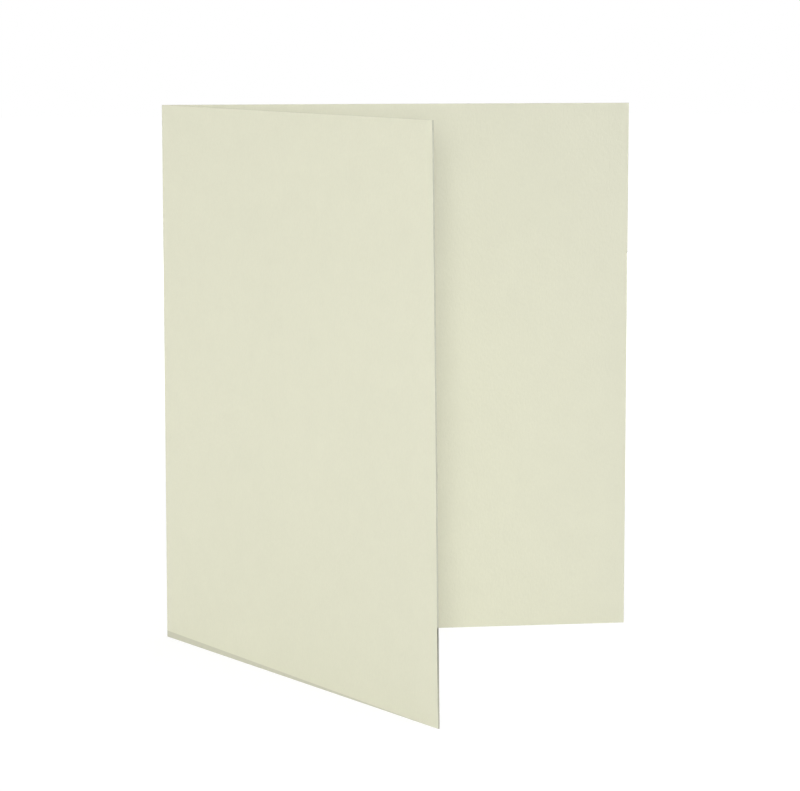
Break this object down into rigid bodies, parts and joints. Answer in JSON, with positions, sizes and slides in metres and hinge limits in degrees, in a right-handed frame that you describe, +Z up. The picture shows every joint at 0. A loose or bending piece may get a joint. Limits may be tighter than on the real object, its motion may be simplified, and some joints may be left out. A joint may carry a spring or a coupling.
{
  "type": "folded card",
  "caption": "Blank ivory card of heavy stock with a scored upright fold, standing half open on its lower edges, its back leaf flat and its front leaf swung forward.",
  "frame": {"origin": "on the ground under the middle of the standing card's outline box", "axes": "+X along the back leaf from the fold to its free edge, +Y out of the back leaf's outer face, +Z up along the fold"},
  "size_m": [0.1322, 0.1194, 0.15],
  "materials": {
    "card_stock": "smooth uncoated matte ivory board"
  },
  "bodies": {
    "root": {"folded_card": "card_stock"}
  },
  "joints": []
}
